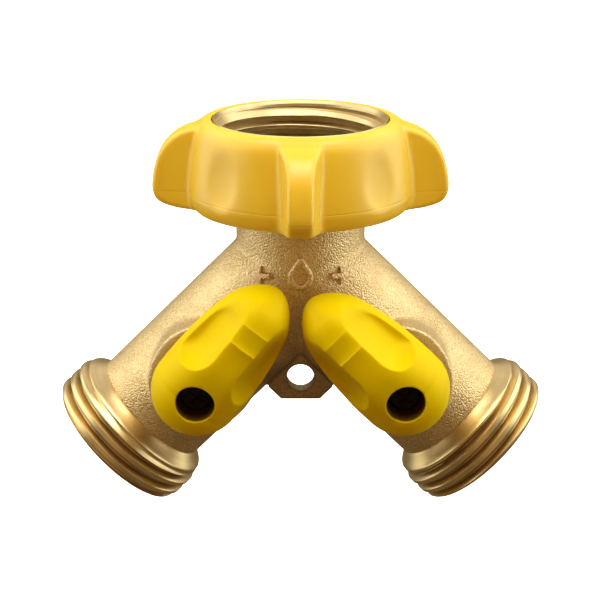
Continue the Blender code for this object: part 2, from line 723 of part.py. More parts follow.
def ridge_half_width(along):
    """Half width of the ridge: straight along the lever, flaring into the hub round each scoop's end."""
    radius = SCOOP_END_X - RIDGE_HALF_WIDTH
    behind = max(0.0, SCOOP_END_X - along)
    return SCOOP_END_X - math.sqrt(max(0.0, radius ** 2 - behind ** 2))


def handle_height(along, across):
    """Upper surface of the handle above a point of its plan: a dome, less a scoop on each side."""
    top = ridge_height(along)
    half = max(handle_half_width(along), FIT_GAP)
    share = math.hypot(along, across) / HANDLE_HUB_R if along < 0.0 else abs(across) / half
    dome = max(0.0, 1.0 - share ** DOME_POWER) ** DOME_BLUNTNESS * math.sqrt(nose_share(along))
    body = HANDLE_RIM_H + (top - HANDLE_RIM_H) * dome
    floor = HANDLE_SCOOP_H + (top - HANDLE_SCOOP_H) * smooth_step(*SCOOP_FADE_X, along)
    beyond = max(0.0, abs(across) - ridge_half_width(along))
    wall = top - (HANDLE_RIDGE_TOP_H - HANDLE_SCOOP_H) * beyond / SCOOP_WALL_RUN
    return min(body, max(wall, floor))


def handle_stations(along):
    """Distances from the lever's centre line at which the upper surface is sampled."""
    half = handle_half_width(along)
    edge = min(ridge_half_width(along), RIDGE_EDGE_SHARE * half)
    foot = min(edge + SCOOP_WALL_RUN, SCOOP_FOOT_SHARE * half)
    beyond = [foot + share * (half - foot) for share in SCOOP_FLOOR_SHARES]
    outer = [0.5 * edge, edge, foot, *beyond, half]
    return [-station for station in reversed(outer)] + [0.0] + outer


def handle_shell(side):
    """Closed body under the upper surface, laid out in rows across the lever."""
    bm = bmesh.new()
    middle = (HANDLE_REACH - HANDLE_HUB_R) / 2
    reach = (HANDLE_REACH + HANDLE_HUB_R) / 2
    rows = []
    for row in range(1, HANDLE_ROWS):
        along = middle - reach * math.cos(math.pi * row / HANDLE_ROWS)
        half = handle_half_width(along)
        section = [(across, handle_height(along, across)) for across in handle_stations(along)]
        section = [(-half, HANDLE_BASE_H), *section, (half, HANDLE_BASE_H)]
        rows.append([bm.verts.new((along, across, height)) for across, height in section])
    ends = []
    for along in (-HANDLE_HUB_R, HANDLE_REACH):
        ends.append((bm.verts.new((along, 0.0, HANDLE_BASE_H)), bm.verts.new((along, 0.0, HANDLE_RIM_H))))
    for near, far in zip(rows, rows[1:]):
        for index in range(len(near) - 1):
            bm.faces.new((near[index], near[index + 1], far[index + 1], far[index]))
    for (low, high), row in zip(ends, (rows[0], rows[-1])):
        bm.faces.new((low, high, row[1], row[0]))
        bm.faces.new((high, low, row[-1], row[-2]))
        for index in range(1, len(row) - 2):
            bm.faces.new((high, row[index + 1], row[index]))
    base = [ends[0][0]] + [row[0] for row in rows] + [ends[1][0]] + [row[-1] for row in reversed(rows)]
    bm.faces.new(base)
    return make_object(side + "_handle", bm, "handle_plastic", valve_place(side))


def handle(side):
    place = valve_place(side)
    made = handle_shell(side)
    floor = HANDLE_RECESS_FLOOR_H
    cut(made, rod("recess", RECESS_R, floor, HANDLE_RIDGE_TOP_H + OVERCUT, RECESS_STEPS, place))
    cut(made, rod("web_hole", TAPPED_R, HANDLE_BASE_H - OVERCUT, floor + OVERCUT, SMALL_STEPS, place))
    wide = DRIVE_SIDE + 2 * FIT_GAP
    cut(made, post("drive_socket", wide, wide, HANDLE_BASE_H - OVERCUT, HANDLE_SOCKET_TOP_H, place))
    return finish_smooth(made)


def handle_screw(side):
    place = valve_place(side)
    bevel = SCREW_BEVEL
    profile = [
        (0.0, SCREW_END_H), (SCREW_SHANK_R - bevel, SCREW_END_H), (SCREW_SHANK_R, SCREW_END_H + bevel),
        (SCREW_SHANK_R, SCREW_HEAD_LOW_H), (SCREW_HEAD_R, SCREW_HEAD_LOW_H),
        (SCREW_HEAD_R, SCREW_HEAD_TOP_H - bevel), (SCREW_HEAD_R - bevel, SCREW_HEAD_TOP_H),
        (0.0, SCREW_HEAD_TOP_H),
    ]
    made = turned(side + "_handle_screw", profile, SMALL_STEPS, "steel_dark", place, closed=False)
    low = SCREW_HEAD_TOP_H - CROSS_DEPTH
    high = SCREW_HEAD_TOP_H + OVERCUT
    cut(made, post("cross_bar", CROSS_LENGTH, CROSS_WIDTH, low, high, place))
    cut(made, post("cross_bar", CROSS_WIDTH, CROSS_LENGTH, low, high, place))
    return finish_smooth(made)


def build():
    clear_scene()
    y_body()
    retaining_ring()
    hose_washer()
    swivel_nut()
    swivel_grip()
    for side in SIDE_SIGN:
        ball(side)
        seat(side, "inner_seat", -1)
        seat(side, "outer_seat", 1)
        seat_retainer(side)
        stem(side)
        stem_thrust_washer(side)
        for name, height in zip(("stem_o_ring_lower", "stem_o_ring_upper"), O_RING_HEIGHTS):
            stem_o_ring(side, name, height)
        handle(side)
        handle_screw(side)


build()
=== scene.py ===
"""Looks for the two-way garden hose splitter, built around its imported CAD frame.

Shapes are worked out in millimetres in the CAD frame (origin at the inlet washer's face, +Z up, handles
towards -Y) and become metres when a mesh is made.
"""
import json
import math

import bmesh
import bpy
import numpy as np
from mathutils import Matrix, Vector


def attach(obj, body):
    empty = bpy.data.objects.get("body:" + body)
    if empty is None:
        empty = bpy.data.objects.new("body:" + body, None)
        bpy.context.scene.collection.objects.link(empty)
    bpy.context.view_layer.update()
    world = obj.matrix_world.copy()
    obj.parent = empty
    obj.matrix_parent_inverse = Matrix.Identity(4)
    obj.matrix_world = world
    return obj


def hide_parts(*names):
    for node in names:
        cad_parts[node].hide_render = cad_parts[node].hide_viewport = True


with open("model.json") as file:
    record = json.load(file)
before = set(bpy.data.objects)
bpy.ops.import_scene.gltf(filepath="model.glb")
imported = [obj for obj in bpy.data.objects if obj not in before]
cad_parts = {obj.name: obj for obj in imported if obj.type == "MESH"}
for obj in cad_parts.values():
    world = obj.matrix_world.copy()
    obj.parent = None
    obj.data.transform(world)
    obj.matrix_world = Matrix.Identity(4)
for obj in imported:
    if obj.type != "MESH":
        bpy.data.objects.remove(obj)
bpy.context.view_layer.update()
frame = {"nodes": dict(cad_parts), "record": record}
MM = 0.001

# Thread, hub and leg sizes of the CAD part. S runs down a leg from the hub, H in front of the pipe's axis.
PITCH = 25.4 / 11.5
HUB = np.array((0.0, 0.0, -17.9))
PIPE_R = 10.6
SIDES = {"left": -1.0, "right": 1.0}
LEG_END_S = 44.3
CONE_START_S = 35.7
VALVE_S = 23.5
BOSS_R = 8.3
BOSS_FACE_H = 12.3
LEVER_DEG = {"left": 51.6, "right": 44.3}


# ---------------------------------------------------------------- meshes

def make_piece(name, points, faces, body, nodes, normals=None):
    """An object from points in millimetres, riding on a body and standing for CAD nodes."""
    mesh = bpy.data.meshes.new(name)
    mesh.from_pydata((np.asarray(points) * MM).tolist(), [], [list(face) for face in faces])
    mesh.shade_smooth()
    if normals is not None:
        mesh.normals_split_custom_set_from_vertices(np.asarray(normals).tolist())
    piece = bpy.data.objects.new(name, mesh)
    bpy.context.scene.collection.objects.link(piece)
    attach(piece, body)
    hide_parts(*nodes)
    return piece


MERGE_DISTANCE = 2e-7
SHARP_ANGLE = math.radians(35.0)


def tidy(piece):
    """Merge coincident points, point the faces outwards and keep edges over SHARP_ANGLE sharp."""
    bm = bmesh.new()
    bm.from_mesh(piece.data)
    bmesh.ops.remove_doubles(bm, verts=bm.verts, dist=MERGE_DISTANCE)
    bmesh.ops.recalc_face_normals(bm, faces=bm.faces)
    bm.to_mesh(piece.data)
    bm.free()
    piece.data.shade_smooth()
    piece.data.set_sharp_from_angle(angle=SHARP_ANGLE)
    return piece


def surface_nets(field, low, high, cell):
    """Points and outward quads of the surface where the field is zero, on a grid of the given cell."""
    axes = [np.arange(start, end + cell, cell) for start, end in zip(low, high)]
    value = field(np.stack(np.meshgrid(*axes, indexing="ij"), axis=-1))
    cells = tuple(size - 1 for size in value.shape)
    total = np.zeros(cells + (3,))
    count = np.zeros(cells)
    crossings = []
    for axis in range(3):
        near = np.take(value, range(cells[axis]), axis)
        far = np.take(value, range(1, cells[axis] + 1), axis)
        crossing = (near < 0) != (far < 0)
        share = np.where(crossing, near / np.where(crossing, near - far, 1.0), 0.0)
        crossings.append((crossing, near < 0))
        across = [(axis + 1) % 3, (axis + 2) % 3]
        for shift in ((0, 0), (0, 1), (1, 0), (1, 1)):
            window = [slice(None)] * 3
            for other, step in zip(across, shift):
                window[other] = slice(step, step + cells[other])
            hit = crossing[tuple(window)]
            count += hit
            total[..., axis] += share[tuple(window)]
            for other, step in zip(across, shift):
                total[..., other] += hit * step
    active = count > 0
    number = np.full(cells, -1)
    number[active] = np.arange(active.sum())
    points = np.asarray(low) + cell * (np.argwhere(active) + total[active] / count[active][:, None])
    quads = []
    for axis, (crossing, near_inside) in enumerate(crossings):
        across = [(axis + 1) % 3, (axis + 2) % 3]
        window = [slice(None)] * 3
        start = np.zeros(3, int)
        for other in across:
            window[other] = slice(1, cells[other])
            start[other] = 1
        found = np.argwhere(crossing[tuple(window)]) + start
        corners = []
        for shift in ((-1, -1), (0, -1), (0, 0), (-1, 0)):
            place = found.copy()
            place[:, across[0]] += shift[0]
            place[:, across[1]] += shift[1]
            corners.append(number[tuple(place.T)])
        quad = np.stack(corners, axis=-1)
        outward = near_inside[tuple(found.T)]
        quads.append(np.where(outward[:, None], quad, quad[:, ::-1]))
    return points, np.concatenate(quads)


def gradient(field, points, reach):
    """Slope of a field along x, y and z, by central differences."""
    steps = np.eye(3) * reach
    return np.stack([field(points + step) - field(points - step) for step in steps], axis=-1) / (2 * reach)


PULL_PASSES = 4
PULL_REACH = 0.02
NORMAL_REACH = 0.06
LEAST_SLOPE_SQUARED = 0.05


def implicit(name, field, low, high, cell, body, nodes, place=None):
    """A closed smooth piece where a field in millimetres is negative, pulled onto its exact surface."""
    points, quads = surface_nets(field, low, high, cell)
    for _ in range(PULL_PASSES):
        slope = gradient(field, points, PULL_REACH)
        steepness = np.maximum((slope ** 2).sum(axis=1), LEAST_SLOPE_SQUARED)
        step = field(points)[:, None] * slope / steepness[:, None]
        length = np.linalg.norm(step, axis=1)[:, None]
        points = points - step * np.minimum(1.0, 0.5 * cell / np.maximum(length, 1e-9))
    normals = gradient(field, points, NORMAL_REACH)
    normals /= np.linalg.norm(normals, axis=1)[:, None]
    if place is not None:
        turn, origin = place
        points = points @ turn.T + origin
        normals = normals @ turn.T
    return make_piece(name, points, quads, body, nodes, normals)


# ---------------------------------------------------------------- fields and outlines

def smooth_min(first, second, reach):
    """The lesser of two fields, blended where they are within reach of each other."""
    overlap = np.maximum(reach - np.abs(first - second), 0.0) / reach
    return np.minimum(first, second) - overlap ** 2 * reach / 4


def smooth_max(first, second, reach):
    """The greater of two fields, blended where they are within reach of each other."""
    return -smooth_min(-first, -second, reach)


def smooth_step(low, high, value):
    """0 below low, 1 above high, and an S curve between."""
    part = np.clip((value - low) / (high - low), 0.0, 1.0)
    return part * part * (3.0 - 2.0 * part)


def polygon_field(x, y, outline):
    """Signed distance from (x, y) to a closed outline given as a list of points."""
    nearest = np.full(x.shape, np.inf)
    inside = np.zeros(x.shape, bool)
    for (ax, ay), (bx, by) in zip(outline, outline[1:] + outline[:1]):
        ex, ey = bx - ax, by - ay
        wx, wy = x - ax, y - ay
        share = np.clip((wx * ex + wy * ey) / (ex * ex + ey * ey), 0.0, 1.0)
        nearest = np.minimum(nearest, (wx - share * ex) ** 2 + (wy - share * ey) ** 2)
        spans = (ay > y) != (by > y)
        if ay != by:
            inside ^= spans & (x < ax + (y - ay) * ex / ey)
    return np.where(inside, -1.0, 1.0) * np.sqrt(nearest)


CURVE_CUTS = 4


def rounded(outline):
    """A closed outline with a smooth curve through its points."""
    knots = np.array(outline)
    before, after, second = np.roll(knots, 1, 0), np.roll(knots, -1, 0), np.roll(knots, -2, 0)
    curve = []
    slope = after - before
    square = 2 * before - 5 * knots + 4 * after - second
    cube = 3 * knots - before - 3 * after + second
    for share in np.arange(CURVE_CUTS) / CURVE_CUTS:
        curve.append((2 * knots + slope * share + square * share ** 2 + cube * share ** 3) / 2)
    return np.stack(curve, axis=1).reshape(-1, 2).tolist()


# ---------------------------------------------------------------- places along the legs and levers

def leg_axis(side):
    """Unit vector down a leg, 45 degrees below the horizontal."""
    return np.array((SIDES[side] * math.sqrt(0.5), 0.0, -math.sqrt(0.5)))


def leg_place(side):
    """Columns: across the leg in the plane of the Y, world Y, down the leg."""
    down = leg_axis(side)
    level = np.array((0.0, 1.0, 0.0))
    return np.stack((np.cross(level, down), level, down), axis=1), HUB


def lever_place(side):
    """Columns: along the lever at rest, across it, outwards along the stem."""
    rise = math.radians(LEVER_DEG[side])
    along = np.array((-SIDES[side] * math.cos(rise), 0.0, math.sin(rise)))
    outward = np.array((0.0, -1.0, 0.0))
    return np.stack((along, np.cross(outward, along), outward), axis=1), HUB + VALVE_S * leg_axis(side)


def axial(points, start, direction):
    """Distance along a line and distance from it."""
    offset = points - start
    along = offset @ direction
    away = np.linalg.norm(offset - along[..., None] * direction, axis=-1)
    return along, away


# ---------------------------------------------------------------- cast body

NECK_TOP = 11.4
NECK_BORE_R, NECK_BORE_START = 7.8, 2.7
# Radius, start and end of each leg's port, ball chamber and room for the machined end
LEG_PASSAGES = ((4.9, 0.5, 16.0), (8.0, 15.3, 31.5), (9.5, 31.4, 37.0))
LEG_CREASE, NECK_CREASE = 0.6, 0.4
BOSS_START, BOSS_ROUND, BOSS_FILLET = 2.0, 0.5, 1.0
# The second circle of each boss, and how far its centre is from the stem: up the leg, and across it
LOBE_R, LOBE_UP_LEG, LOBE_ACROSS = 8.62, 1.65, 0.27
STEM_BORE_R, STEM_BORE_START = 3.8, 5.0
TAB_HALF, TAB_ROUND, TAB_FILLET = 1.65, 0.5, 0.7
TAB_HOLE_R, TAB_HOLE_ROUND = 2.33, 0.35
MOUTH_ROUND = 0.25
TAB_OUTLINE = [(-3.3, -41.2), (3.3, -41.2), (5.4, -39.1), (5.4, -36.9), (0.0, -31.3), (-5.4, -36.9),
               (-5.4, -39.1)]
TAB_HOLE_Z = -37.35


def cast_field(points):
    """The sand-cast skin: neck, legs, stem bosses and hang tab with cast fillets, less its passages."""
    up = np.array((0.0, 0.0, 1.0))
    along, away = axial(points, HUB, up)
    neck = np.maximum(np.hypot(np.minimum(along, 0.0), away) - PIPE_R, along - NECK_TOP)
    passages = np.maximum(away - NECK_BORE_R, NECK_BORE_START - along)
    solid = None
    for side in SIDES:
        along, away = axial(points, HUB, leg_axis(side))
        leg = np.maximum(np.hypot(np.minimum(along, 0.0), away) - PIPE_R, along - CONE_START_S)
        solid = leg if solid is None else smooth_min(solid, leg, LEG_CREASE)
        for radius, start, end in LEG_PASSAGES:
            length = np.maximum(start - along, along - end)
            passages = np.minimum(passages, np.maximum(away - radius, length))
    solid = smooth_min(solid, neck, NECK_CREASE)
    forward = np.array((0.0, -1.0, 0.0))
    for side in SIDES:
        stem = HUB + VALVE_S * leg_axis(side)
        along, away = axial(points, stem, forward)
        shift = -LOBE_UP_LEG * leg_axis(side) - LOBE_ACROSS * SIDES[side] * leg_place(side)[0][:, 0]
        rim = smooth_min(away - BOSS_R, axial(points, stem + shift, forward)[1] - LOBE_R, BOSS_ROUND)
        boss = smooth_max(rim, np.maximum(along - BOSS_FACE_H, BOSS_START - along), BOSS_ROUND)
        solid = smooth_min(solid, boss, BOSS_FILLET)
        passages = np.minimum(passages, np.maximum(away - STEM_BORE_R, STEM_BORE_START - along))
    x, y, z = points[..., 0], points[..., 1], points[..., 2]
    tab = smooth_max(polygon_field(x, z, TAB_OUTLINE), np.abs(y) - TAB_HALF, TAB_ROUND)
    solid = smooth_min(solid, tab, TAB_FILLET)
    hole = np.hypot(x, z - TAB_HOLE_Z) - TAB_HOLE_R
    solid = smooth_max(solid, -hole, TAB_HOLE_ROUND)
    return smooth_max(solid, -passages, MOUTH_ROUND)


def cast_body():
    """The whole casting without its marks, its machined ends and its spigot."""
    low, high = (-34.5, -14.5, -51.5), (34.5, 11.5, -5.5)
    return implicit("cast_body", cast_field, low, high, cell=0.36, body="body",
                    nodes=["y_body"])


MARK_Z = -16.9
MARK_RISE, MARK_SINK, MARK_ROUND = 0.6, 0.4, 0.4
# The box in front of the hub that holds the marks
MARK_FRONT_Y, MARK_BACK_Y = -12.6, -5.0
MARK_BELOW, MARK_ABOVE = 2.4, 3.6
DROP_REACH = 2.6
ARROW_START, ARROW_END = 4.3, 8.9
# DROP_TIP is the drop's point above its round part's centre, and the stroke is half its line's width
DROP_R, DROP_TIP, DROP_STROKE, DROP_STEPS = 1.6, 2.9, 0.48, 40
ARROW = [(4.9, -0.5), (6.3, -0.5), (6.3, -1.45), (8.3, 0.0), (6.3, 1.45), (6.3, 0.5), (4.9, 0.5)]


def drop_outline():
    """A round drop with a straight-sided point."""
    start = math.asin(DROP_R / DROP_TIP)
    sweep = math.pi + 2 * start
    arc = []
    for k in range(DROP_STEPS + 1):
        angle = start - sweep * k / DROP_STEPS
        arc.append((DROP_R * math.cos(angle), DROP_R * math.sin(angle)))
    return arc + [(0.0, DROP_TIP)]


def raised_mark(name, shape, low_x, high_x):
    """A cast mark: a flat shape in (x, z) standing off the front of the cast skin with round edges."""
    def field(points):
        skin = cast_field(points)
        mark = smooth_max(shape(points[..., 0], points[..., 2] - MARK_Z), skin - MARK_RISE, MARK_ROUND)
        return np.maximum(mark, -skin - MARK_SINK)
    low, high = (low_x, MARK_FRONT_Y, MARK_Z - MARK_BELOW), (high_x, MARK_BACK_Y, MARK_Z + MARK_ABOVE)
    return implicit(name, field, low, high, cell=0.12, body="body", nodes=["y_body"])


def flow_marks():
    """The drop's outline on the hub, and an arrow on each side of it that points outwards."""
    drop = drop_outline()

    def drop_shape(x, z):
        return np.abs(polygon_field(x, z, drop)) - DROP_STROKE
    marks = [raised_mark("drop_mark", drop_shape, -DROP_REACH, DROP_REACH)]
    for side, sign in SIDES.items():
        def arrow_shape(x, z):
            return polygon_field(x * sign, z, ARROW)
        low_x, high_x = sorted((sign * ARROW_START, sign * ARROW_END))
        marks.append(raised_mark("arrow_mark_" + side, arrow_shape, low_x, high_x))
    return marks


# ---------------------------------------------------------------- turned pieces and threads

STEPS = 144
THREAD_SAMPLES = 18


def plain_row(radius, height):
    """A level ring of a turned piece, as (radius, height) at each step round the axis."""
    return np.stack((np.full(STEPS + 1, radius), np.full(STEPS + 1, height)), axis=-1)


def thread_rows(low, high, radius_at, phase_turns=0.0):
    """Rows that follow the helix between two heights, so that crests and roots lie on mesh lines."""
    turn = np.linspace(0.0, 1.0, STEPS + 1)
    first = math.floor((low / PITCH) - 1) * THREAD_SAMPLES
    last = math.ceil(high / PITCH + 1) * THREAD_SAMPLES
    rows = []
    for step in range(first, last + 1):
        height = np.clip((step / THREAD_SAMPLES + turn + phase_turns) * PITCH, low, high)
        phase = height / PITCH - turn - phase_turns
        rows.append(np.stack((radius_at(height, phase), height), axis=-1))
    return rows


def turned(name, rows, body, nodes, place=None):
    """A closed turned piece from rows of (radius, height) round the axis, the last joined to the first."""
    grid = np.array(rows)
    angle = np.linspace(0.0, math.tau, STEPS + 1)
    radius, height = grid[..., 0], grid[..., 1]
    points = np.stack((radius * np.cos(angle), radius * np.sin(angle), height), axis=-1)
    if place is not None:
        points = points @ place[0].T + place[1]
    count = len(rows)
    width = STEPS + 1
    row, column = np.meshgrid(np.arange(count), np.arange(STEPS), indexing="ij")
    following = (row + 1) % count
    faces = np.stack((row * width + column, row * width + column + 1,
                      following * width + column + 1, following * width + column), axis=-1)
    piece = make_piece(name, points.reshape(-1, 3), faces.reshape(-1, 4), body, nodes)
    return tidy(piece)


COLLAR_R, COLLAR_END_S = 12.75, 37.5
MALE_CREST_R, MALE_DEPTH = 13.42, 1.32
THREAD_START_S = 38.9
THREAD_START_TURN = {"left": 0.0, "right": 0.5}
MACHINED_START_S, OUTLET_BORE_R = 31.5, 9.0


def male_radius(height, phase):
    """Rounded hose thread that fades out into the collar and is chamfered at the end."""
    lobe = smooth_step(-0.95, 0.5, np.cos(math.tau * phase))
    depth = MALE_DEPTH * smooth_step(37.6, 38.7, height)
    crest = COLLAR_R + (MALE_CREST_R - COLLAR_R) * smooth_step(37.9, THREAD_START_S, height)
    thread = crest - depth * (1.0 - lobe)
    chamfer = COLLAR_R + (LEG_END_S - height) * 0.9
    return smooth_min(thread, chamfer, 0.25)


def outlet_end(side):
    """The machined end of one leg: shank in the casting, cone, collar, male thread, bore."""
    rows = [plain_row(r, s) for r, s in (
        (OUTLET_BORE_R, MACHINED_START_S), (10.2, MACHINED_START_S), (10.2, 35.55), (10.46, 35.62),
        (10.62, 35.72), (10.9, 36.0), (11.6, 36.6), (12.2, 37.05), (12.6, 37.3), (COLLAR_R, COLLAR_END_S),
    )]
    phase = (THREAD_START_S / PITCH - THREAD_START_TURN[side]) % 1.0
    rows += thread_rows(COLLAR_END_S, LEG_END_S - 0.12, male_radius, phase)
    rows += [plain_row(r, s) for r, s in (
        (12.62, LEG_END_S), (9.35, LEG_END_S), (9.1, LEG_END_S - 0.1), (OUTLET_BORE_R, LEG_END_S - 0.35),
    )]
    return turned(side + "_outlet_end", rows, "body", ["y_body"], leg_place(side))


def neck_spigot():
    """The machined top of the neck, with the groove for the wire ring."""
    profile = (
        (7.5, -15.2), (8.3, -15.2), (8.3, -6.8), (10.5, -6.8), (10.55, -5.95), (10.1, -5.95), (10.1, -3.65),
        (10.55, -3.65), (10.55, -3.4), (10.35, -3.2), (7.8, -3.2), (7.5, -3.5),
    )
    rows = [plain_row(r, z) for r, z in profile]
    return turned("neck_spigot", rows, "body", ["y_body"])


FEMALE_ROOT_R, FEMALE_DEPTH = 13.62, 1.15
LEAD_IN_R, LEAD_IN_Z, LEAD_IN_SLOPE = 12.45, 4.4, 0.68


def female_radius(height, phase):
    """Hose thread in the nut, opened at the top by a conical lead-in."""
    lobe = smooth_step(-0.5, 0.75, np.cos(math.tau * phase))
    thread = FEMALE_ROOT_R - FEMALE_DEPTH * lobe * smooth_step(0.4, 1.1, height)
    return np.maximum(thread, LEAD_IN_R + (height - LEAD_IN_Z) * LEAD_IN_SLOPE)


def swivel_nut():
    """The brass nut: inward flange, outer wall, lead-in, thread and washer seat."""
    rows = [plain_row(r, z) for r, z in (
        (10.95, -7.5), (14.8, -7.5), (14.8, 6.1), (14.26, 6.1), (14.26, 6.8), (14.18, 6.9), (14.08, 6.9),
        (13.73, 6.45), (13.68, 6.3),
    )]
    rows += thread_rows(0.1, 6.2, female_radius)[::-1]
    rows += [plain_row(r, z) for r, z in ((FEMALE_ROOT_R, 0.0), (12.75, 0.0), (12.75, -5.9), (10.95, -5.9))]
    return turned("swivel_nut_fine", rows, "swivel", ["swivel_nut"])


def hose_washer():
    """The rubber washer, with a raised sealing rim at its inner and outer edge."""
    profile = (
        (7.95, -2.6), (8.2, -2.9), (12.05, -2.9), (12.3, -2.65), (12.3, -0.25), (12.05, 0.0), (11.5, 0.0),
        (11.3, -0.14), (9.0, -0.14), (8.8, 0.0), (8.2, 0.0), (7.95, -0.25),
    )
    rows = [plain_row(r, z) for r, z in profile]
    return turned("hose_washer_fine", rows, "swivel", ["hose_washer"])


# ---------------------------------------------------------------- grip

# Sections of one fin and of the barrel between the fins, as (radius, height)
GRIP_FIN = rounded([
    (15.5, -7.9), (18.0, -7.85), (20.4, -7.6), (22.4, -7.05), (23.5, -6.3), (24.05, -5.2), (24.2, -4.0),
    (24.05, -2.4), (23.75, -0.8), (23.25, 0.8), (22.5, 2.3), (21.5, 3.6), (20.3, 4.6), (19.0, 5.3),
    (17.4, 5.8), (15.5, 6.0), (12.0, 6.0), (12.0, -7.9),
])
GRIP_BODY = rounded([
    (10.0, -7.45), (14.5, -7.45), (15.7, -7.45), (16.75, -7.4), (17.35, -6.9), (17.65, -5.9), (17.75, -4.8),
    (17.6, -2.0), (17.15, 1.8), (16.75, 4.4), (16.35, 5.5), (15.8, 6.2), (15.1, 6.52), (14.2, 6.55),
    (13.0, 6.55), (10.0, 6.55),
])
GRIP_SWELL = 0.45
GRIP_MID_Z, GRIP_HALF_HEIGHT = -0.45, 7.45
FIN_HALF, FIN_ROUND, FIN_BLEND = 2.05, 0.9, 0.9
FIN_FLARE, FIN_FLARE_OUT, FIN_FLARE_REACH = 1.15, 22.5, 4.8
DIMPLE_OUT, DIMPLE_Z = 18.65, 0.9
DIMPLE_WIDE, DIMPLE_HIGH, DIMPLE_DEEP = 4.9, 6.5, 1.5
GRIP_EDGE = 0.3
GRIP_MOUTH_R, GRIP_BORE_R, GRIP_REBATE_Z = 14.5, 15.1, 6.4


def grip_outside(points):
    """Outside of the grip: barrel, four fins that spread at the root, a finger dimple between each two."""
    x, y, z = points[..., 0], points[..., 1], points[..., 2]
    radius = np.hypot(x, y)
    barrel = polygon_field(radius, z, GRIP_BODY) - GRIP_SWELL
    angle = np.arctan2(y, x)
    quarter = math.pi / 2
    near_fin = (angle + quarter / 2) % quarter - quarter / 2
    out = radius * np.cos(near_fin)
    across = np.abs(radius * np.sin(near_fin))
    flare = np.clip(FIN_FLARE_OUT - out, 0.0, FIN_FLARE_REACH) / FIN_FLARE_REACH
    spread = FIN_HALF + FIN_FLARE * flare ** 1.4
    fin = smooth_max(polygon_field(out, z, GRIP_FIN), (across - spread) * 0.9, FIN_ROUND)
    solid = smooth_min(barrel, fin, FIN_BLEND)
    between = angle % quarter - quarter / 2
    out = radius * np.cos(between)
    across = radius * np.sin(between)
    wide, high, deep = across / DIMPLE_WIDE, (z - DIMPLE_Z) / DIMPLE_HIGH, (out - DIMPLE_OUT) / DIMPLE_DEEP
    oval = np.sqrt(wide ** 2 + high ** 2 + deep ** 2) - 1.0
    solid = smooth_max(solid, -DIMPLE_DEEP * oval, GRIP_EDGE)
    return smooth_max(solid, np.abs(z - GRIP_MID_Z) - GRIP_HALF_HEIGHT, GRIP_EDGE)


def swivel_grip():
    """The moulded grip; its bore and rebate are cut straight, its outside is blended."""
    def field(points):
        radius = np.hypot(points[..., 0], points[..., 1])
        rebate = np.where(points[..., 2] > GRIP_REBATE_Z, GRIP_MOUTH_R, GRIP_BORE_R)
        return smooth_max(grip_outside(points), rebate - radius, 0.1)
    low, high = (-24.8, -24.8, -8.4), (24.8, 24.8, 7.5)
    return implicit("grip_fine", field, low, high, cell=0.3, body="swivel",
                    nodes=["swivel_grip"])


# ---------------------------------------------------------------- handles

HANDLE_HUB_R = 7.5
TAPER_LENGTH, TAPER_POWER = 28.5, 2.5
NOSE_START, NOSE_LENGTH, NOSE_POWER = 15.2, 6.1, 2.4


def half_width(along):
    """Half the handle's width: a round hub, sides that draw in, and a blunt nose."""
    behind = np.sqrt(np.maximum(HANDLE_HUB_R ** 2 - np.minimum(along, 0.0) ** 2, 0.0))
    taper = HANDLE_HUB_R * (1.0 - (np.maximum(along, 0.0) / TAPER_LENGTH) ** TAPER_POWER)
    nose = np.sqrt(np.maximum(1.0 - (np.maximum(along - NOSE_START, 0.0) / NOSE_LENGTH) ** NOSE_POWER, 0.0))
    return np.where(along < 0.0, behind, taper * nose)


RIDGE_PEAK, RIDGE_PEAK_AT = 23.2, 10.0
# Start, end and depth of each hollow, and a power that puts its bottom nearer the tip (over 1) or the hub
HOLLOWS = ((5.0, 12.2, 0.28, 1.9), (12.2, 15.6, 0.30, 0.7), (15.6, 18.6, 0.20, 0.75))


def ridge_arch(along):
    """Height of the thumb ridge without its hollows: a low arch from hub to tip."""
    hub_drop = 1.9 * (np.clip(RIDGE_PEAK_AT - along, 0.0, 11.0) / 11.0) ** 2
    tip_drop = 1.3 * (np.clip(along - RIDGE_PEAK_AT, 0.0, 12.0) / 8.6) ** 2
    return RIDGE_PEAK - hub_drop - tip_drop


def ridge_top(along):
    """Height of the thumb ridge, with a hollow before each of its three crests."""
    hollow = np.zeros_like(along)
    for start, end, depth, lean in HOLLOWS:
        share = np.clip((along - start) / (end - start), 0.0, 1.0) ** lean
        hollow += depth * 4 * share * (1 - share)
    return ridge_arch(along) - hollow


RIDGE_HALF = 2.3
SCOOP_END = 8.2
SCOOP_FLOOR, SCOOP_LEAST_WIDTH = 16.5, 3.2
LIP_WIDTH, LIP_RISE = 1.5, 0.15


def beyond_ridge(along, across):
    """Distance past the edge of the ridge, whose sides flare round the hub ends of the scoops."""
    aside = np.abs(across)
    round_end = SCOOP_END - RIDGE_HALF - np.hypot(SCOOP_END - along, SCOOP_END - aside)
    return np.where(along > SCOOP_END, aside - RIDGE_HALF, round_end)


def scoop_height(along, across, edge, top):
    """Hollow flank: steep under the ridge, flat along a valley near the rim, and up again to the rim."""
    beyond = beyond_ridge(along, across)
    inward = -edge - LIP_WIDTH
    share = beyond / np.maximum(beyond + inward, SCOOP_LEAST_WIDTH)
    floor = SCOOP_FLOOR + (top - SCOOP_FLOOR) * smooth_step(12.5, 22.5, along)
    lip = LIP_RISE * (np.clip(-inward, 0.0, LIP_WIDTH) / LIP_WIDTH) ** 2
    return floor + (top - floor) * np.clip(1.0 - share, 0.0, 3.0) ** 1.5 + lip


RIM_HEIGHT = 15.0
DOME_NOSE_START, DOME_NOSE_LENGTH = 16.0, 5.3


